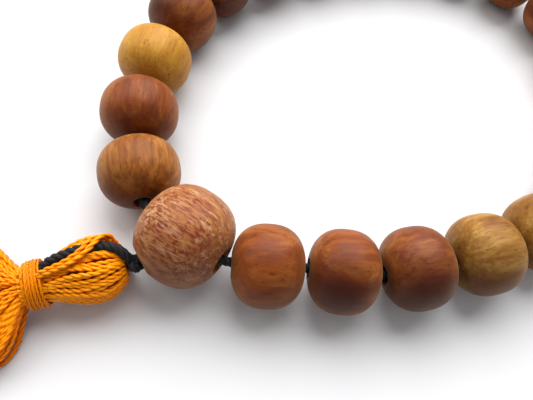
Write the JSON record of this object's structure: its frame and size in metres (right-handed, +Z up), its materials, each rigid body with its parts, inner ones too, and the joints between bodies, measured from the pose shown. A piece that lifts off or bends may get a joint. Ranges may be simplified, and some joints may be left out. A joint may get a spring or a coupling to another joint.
{
  "type": "wrist mala",
  "caption": "Wrist loop of turned wooden prayer beads on a black cord, with a larger three-hole guru bead and a knotted thread tassel.",
  "frame": {"origin": "middle of the loop of beads, on the flat surface that the mala lies on", "axes": "+Z up from the surface; the loop lies in the XY plane, +X is the longest extent, tassel end towards -X and -Y"},
  "size_m": [0.1107, 0.099, 0.0119],
  "materials": {
    "guru_wood": "satin, fine flecks",
    "bead_yellow_tan": "satin, waxed",
    "bead_amber": "satin, waxed",
    "bead_brown": "satin, waxed",
    "bead_dark_brown": "satin, waxed",
    "bead_red_brown": "satin, waxed",
    "cord_black": "matte twisted cord",
    "tassel_thread": "shiny twisted thread",
    "binding_thread": "shiny fine thread"
  },
  "bodies": {
    "guru": {"guru_bead": "guru_wood", "strand_00": "cord_black"},
    "cord_01": {"strand_01": "cord_black"},
    "cord_02": {"strand_02": "cord_black"},
    "cord_03": {"strand_03": "cord_black"},
    "cord_04": {"strand_04": "cord_black"},
    "cord_05": {"strand_05": "cord_black"},
    "cord_06": {"strand_06": "cord_black"},
    "cord_07": {"strand_07": "cord_black"},
    "cord_08": {"strand_08": "cord_black"},
    "cord_09": {"strand_09": "cord_black"},
    "cord_10": {"strand_10": "cord_black"},
    "cord_11": {"strand_11": "cord_black"},
    "cord_12": {"strand_12": "cord_black"},
    "cord_13": {"strand_13": "cord_black"},
    "cord_14": {"strand_14": "cord_black"},
    "cord_15": {"strand_15": "cord_black"},
    "cord_16": {"strand_16": "cord_black"},
    "cord_17": {"strand_17": "cord_black"},
    "cord_18": {"strand_18": "cord_black"},
    "cord_19": {"strand_19": "cord_black"},
    "cord_20": {"strand_20": "cord_black"},
    "cord_21": {"strand_21": "cord_black"},
    "bead_01": {"bead_01": "bead_brown"},
    "bead_02": {"bead_02": "bead_brown"},
    "bead_03": {"bead_03": "bead_red_brown"},
    "bead_04": {"bead_04": "bead_yellow_tan"},
    "bead_05": {"bead_05": "bead_amber"},
    "bead_06": {"bead_06": "bead_dark_brown"},
    "bead_07": {"bead_07": "bead_amber"},
    "bead_08": {"bead_08": "bead_brown"},
    "bead_09": {"bead_09": "bead_yellow_tan"},
    "bead_10": {"bead_10": "bead_red_brown"},
    "bead_11": {"bead_11": "bead_brown"},
    "bead_12": {"bead_12": "bead_dark_brown"},
    "bead_13": {"bead_13": "bead_amber"},
    "bead_14": {"bead_14": "bead_yellow_tan"},
    "bead_15": {"bead_15": "bead_brown"},
    "bead_16": {"bead_16": "bead_red_brown"},
    "bead_17": {"bead_17": "bead_dark_brown"},
    "bead_18": {"bead_18": "bead_dark_brown"},
    "bead_19": {"bead_19": "bead_yellow_tan"},
    "bead_20": {"bead_20": "bead_brown"},
    "bead_21": {"bead_21": "bead_amber"},
    "knot": {"cord_knot": "cord_black"},
    "tassel": {"tassel_loop": "cord_black", "tassel_head": "tassel_thread", "tassel_binding": "binding_thread"},
    "skirt": {"tassel_skirt": "tassel_thread"}
  },
  "joints": [
    {"name": "cord_bend_00", "type": "hinge", "parent": "guru", "child": "cord_01", "pos_m": [-0.01601, -0.03104, 0.00545], "axis": [0, 0, 1], "range_deg": [-1.96, 1.96]},
    {"name": "loop_squeeze", "type": "hinge", "parent": "cord_01", "child": "cord_02", "pos_m": [-0.00715, -0.02979, 0.005], "axis": [0, 0, 1], "range_deg": [-6, 6]},
    {"name": "cord_bend_02", "type": "hinge", "parent": "cord_02", "child": "cord_03", "pos_m": [0.00175, -0.02886, 0.005], "axis": [0, 0, 1], "range_deg": [-4.3, 4.3]},
    {"name": "cord_bend_03", "type": "hinge", "parent": "cord_03", "child": "cord_04", "pos_m": [0.01005, -0.02551, 0.005], "axis": [0, 0, 1], "range_deg": [-1.18, 1.18]},
    {"name": "cord_bend_04", "type": "hinge", "parent": "cord_04", "child": "cord_05", "pos_m": [0.01823, -0.02187, 0.005], "axis": [0, 0, 1], "range_deg": [-2.38, 2.38]},
    {"name": "cord_bend_05", "type": "hinge", "parent": "cord_05", "child": "cord_06", "pos_m": [0.02528, -0.01636, 0.005], "axis": [0, 0, 1], "range_deg": [-4.54, 4.54]},
    {"name": "cord_bend_06", "type": "hinge", "parent": "cord_06", "child": "cord_07", "pos_m": [0.02959, -0.00851, 0.005], "axis": [0, 0, 1], "range_deg": [-5.08, 5.08]},
    {"name": "cord_bend_07", "type": "hinge", "parent": "cord_07", "child": "cord_08", "pos_m": [0.03216, 0.00006, 0.005], "axis": [0, 0, 1], "range_deg": [-3.94, 3.94]},
    {"name": "cord_bend_08", "type": "hinge", "parent": "cord_08", "child": "cord_09", "pos_m": [0.03238, 0.00901, 0.005], "axis": [0, 0, 1], "range_deg": [-1.72, 1.72]},
    {"name": "cord_bend_09", "type": "hinge", "parent": "cord_09", "child": "cord_10", "pos_m": [0.02971, 0.01755, 0.005], "axis": [0, 0, 1], "range_deg": [-1, 1]},
    {"name": "cord_bend_10", "type": "hinge", "parent": "cord_10", "child": "cord_11", "pos_m": [0.02418, 0.02458, 0.005], "axis": [0, 0, 1], "range_deg": [-3.28, 3.28]},
    {"name": "cord_bend_21", "type": "hinge", "parent": "guru", "child": "cord_21", "pos_m": [-0.02761, -0.02587, 0.00545], "axis": [0, 0, 1], "range_deg": [-1.42, 1.42]},
    {"name": "cord_bend_20", "type": "hinge", "parent": "cord_21", "child": "cord_20", "pos_m": [-0.03097, -0.01758, 0.005], "axis": [0, 0, 1], "range_deg": [-2.14, 2.14]},
    {"name": "cord_bend_19", "type": "hinge", "parent": "cord_20", "child": "cord_19", "pos_m": [-0.03252, -0.00876, 0.005], "axis": [0, 0, 1], "range_deg": [-0.88, 0.88]},
    {"name": "cord_bend_18", "type": "hinge", "parent": "cord_19", "child": "cord_18", "pos_m": [-0.03174, 0.00015, 0.005], "axis": [0, 0, 1], "range_deg": [-3.4, 3.4]},
    {"name": "cord_bend_17", "type": "hinge", "parent": "cord_18", "child": "cord_17", "pos_m": [-0.02912, 0.00871, 0.005], "axis": [0, 0, 1], "range_deg": [-4.9, 4.9]},
    {"name": "cord_bend_16", "type": "hinge", "parent": "cord_17", "child": "cord_16", "pos_m": [-0.02412, 0.01613, 0.005], "axis": [0, 0, 1], "range_deg": [-4.72, 4.72]},
    {"name": "cord_bend_15", "type": "hinge", "parent": "cord_16", "child": "cord_15", "pos_m": [-0.0173, 0.02193, 0.005], "axis": [0, 0, 1], "range_deg": [-2.74, 2.74]},
    {"name": "cord_bend_14", "type": "hinge", "parent": "cord_15", "child": "cord_14", "pos_m": [-0.00963, 0.02655, 0.005], "axis": [0, 0, 1], "range_deg": [-0.52, 0.52]},
    {"name": "cord_bend_13", "type": "hinge", "parent": "cord_14", "child": "cord_13", "pos_m": [-0.00124, 0.02966, 0.005], "axis": [0, 0, 1], "range_deg": [-3.28, 3.28]},
    {"name": "cord_bend_12", "type": "hinge", "parent": "cord_13", "child": "cord_12", "pos_m": [0.00765, 0.03071, 0.005], "axis": [0, 0, 1], "range_deg": [-4.72, 4.72]},
    {"name": "bead_spin_01", "type": "hinge", "parent": "cord_01", "child": "bead_01", "pos_m": [-0.01158, -0.03042, 0.00497], "axis": [0.9903, 0.1392, 0], "continuous": true},
    {"name": "bead_spin_02", "type": "hinge", "parent": "cord_02", "child": "bead_02", "pos_m": [-0.0027, -0.02933, 0.00503], "axis": [0.9945, 0.1045, 0], "continuous": true},
    {"name": "bead_spin_03", "type": "hinge", "parent": "cord_03", "child": "bead_03", "pos_m": [0.0059, -0.02718, 0.00506], "axis": [0.9272, 0.3746, 0], "continuous": true},
    {"name": "bead_spin_04", "type": "hinge", "parent": "cord_04", "child": "bead_04", "pos_m": [0.01414, -0.02369, 0.00503], "axis": [0.9135, 0.4067, 0], "continuous": true},
    {"name": "bead_spin_05", "type": "hinge", "parent": "cord_05", "child": "bead_05", "pos_m": [0.02175, -0.01911, 0.00497], "axis": [0.788, 0.6157, 0], "continuous": true},
    {"name": "bead_spin_06", "type": "hinge", "parent": "cord_06", "child": "bead_06", "pos_m": [0.02743, -0.01243, 0.00494], "axis": [0.4811, 0.8767, 0], "continuous": true},
    {"name": "bead_spin_07", "type": "hinge", "parent": "cord_07", "child": "bead_07", "pos_m": [0.03087, -0.00422, 0.00497], "axis": [0.2878, 0.9577, 0], "continuous": true},
    {"name": "bead_spin_08", "type": "hinge", "parent": "cord_08", "child": "bead_08", "pos_m": [0.03227, 0.00453, 0.00503], "axis": [0.024, 0.9997, 0], "continuous": true},
    {"name": "bead_spin_09", "type": "hinge", "parent": "cord_09", "child": "bead_09", "pos_m": [0.03104, 0.01328, 0.00506], "axis": [-0.2973, 0.9548, 0], "continuous": true},
    {"name": "bead_spin_10", "type": "hinge", "parent": "cord_10", "child": "bead_10", "pos_m": [0.02695, 0.02107, 0.00503], "axis": [-0.6189, 0.7855, 0], "continuous": true},
    {"name": "bead_spin_11", "type": "hinge", "parent": "cord_11", "child": "bead_11", "pos_m": [0.02031, 0.02684, 0.00497], "axis": [-0.8631, 0.505, 0], "continuous": true},
    {"name": "bead_spin_12", "type": "hinge", "parent": "cord_12", "child": "bead_12", "pos_m": [0.01205, 0.02991, 0.00494], "axis": [-0.9838, 0.1795, 0], "continuous": true},
    {"name": "bead_spin_13", "type": "hinge", "parent": "cord_13", "child": "bead_13", "pos_m": [0.0032, 0.03019, 0.00497], "axis": [-0.9931, -0.1174, 0], "continuous": true},
    {"name": "bead_spin_14", "type": "hinge", "parent": "cord_14", "child": "bead_14", "pos_m": [-0.00544, 0.0281, 0.00503], "axis": [-0.9375, -0.348, 0], "continuous": true},
    {"name": "bead_spin_15", "type": "hinge", "parent": "cord_15", "child": "bead_15", "pos_m": [-0.01346, 0.02424, 0.00506], "axis": [-0.8565, -0.5161, 0], "continuous": true},
    {"name": "bead_spin_16", "type": "hinge", "parent": "cord_16", "child": "bead_16", "pos_m": [-0.02071, 0.01903, 0.00503], "axis": [-0.7621, -0.6474, 0], "continuous": true},
    {"name": "bead_spin_17", "type": "hinge", "parent": "cord_17", "child": "bead_17", "pos_m": [-0.02662, 0.01242, 0.00497], "axis": [-0.5592, -0.829, 0], "continuous": true},
    {"name": "bead_spin_18", "type": "hinge", "parent": "cord_18", "child": "bead_18", "pos_m": [-0.03043, 0.00443, 0.00494], "axis": [-0.2924, -0.9563, 0], "continuous": true},
    {"name": "bead_spin_19", "type": "hinge", "parent": "cord_19", "child": "bead_19", "pos_m": [-0.03213, -0.0043, 0.00497], "axis": [-0.0872, -0.9962, 0], "continuous": true},
    {"name": "bead_spin_20", "type": "hinge", "parent": "cord_20", "child": "bead_20", "pos_m": [-0.03174, -0.01317, 0.00503], "axis": [0.1736, -0.9848, 0], "continuous": true},
    {"name": "bead_spin_21", "type": "hinge", "parent": "cord_21", "child": "bead_21", "pos_m": [-0.02929, -0.02173, 0.00506], "axis": [0.3746, -0.9272, 0], "continuous": true},
    {"name": "tassel_swing", "type": "hinge", "parent": "guru", "child": "knot", "pos_m": [-0.02647, -0.03318, 0.00495], "axis": [0, 0, 1], "range_deg": [-30, 60]},
    {"name": "tassel_lift", "type": "hinge", "parent": "knot", "child": "tassel", "pos_m": [-0.02647, -0.03318, 0.00495], "axis": [-0.454, 0.891, 0], "range_deg": [0, 15]},
    {"name": "skirt_bend", "type": "hinge", "parent": "tassel", "child": "skirt", "pos_m": [-0.03675, -0.03735, 0.00385], "axis": [0, 0, 1], "range_deg": [-25, 25]}
  ],
  "couplings": [
    {"joint": "cord_bend_00", "follows": "loop_squeeze", "ratio": 0.31},
    {"joint": "cord_bend_02", "follows": "loop_squeeze", "ratio": 0.7},
    {"joint": "cord_bend_03", "follows": "loop_squeeze", "ratio": 0.18},
    {"joint": "cord_bend_04", "follows": "loop_squeeze", "ratio": -0.38},
    {"joint": "cord_bend_05", "follows": "loop_squeeze", "ratio": -0.74},
    {"joint": "cord_bend_06", "follows": "loop_squeeze", "ratio": -0.83},
    {"joint": "cord_bend_07", "follows": "loop_squeeze", "ratio": -0.64},
    {"joint": "cord_bend_08", "follows": "loop_squeeze", "ratio": -0.27},
    {"joint": "cord_bend_09", "follows": "loop_squeeze", "ratio": 0.15},
    {"joint": "cord_bend_10", "follows": "loop_squeeze", "ratio": 0.53},
    {"joint": "cord_bend_21", "follows": "loop_squeeze", "ratio": -0.22},
    {"joint": "cord_bend_20", "follows": "loop_squeeze", "ratio": -0.34},
    {"joint": "cord_bend_19", "follows": "loop_squeeze", "ratio": 0.13},
    {"joint": "cord_bend_18", "follows": "loop_squeeze", "ratio": 0.55},
    {"joint": "cord_bend_17", "follows": "loop_squeeze", "ratio": 0.8},
    {"joint": "cord_bend_16", "follows": "loop_squeeze", "ratio": 0.77},
    {"joint": "cord_bend_15", "follows": "loop_squeeze", "ratio": 0.44},
    {"joint": "cord_bend_14", "follows": "loop_squeeze", "ratio": -0.07},
    {"joint": "cord_bend_13", "follows": "loop_squeeze", "ratio": -0.53},
    {"joint": "cord_bend_12", "follows": "loop_squeeze", "ratio": -0.77}
  ]
}
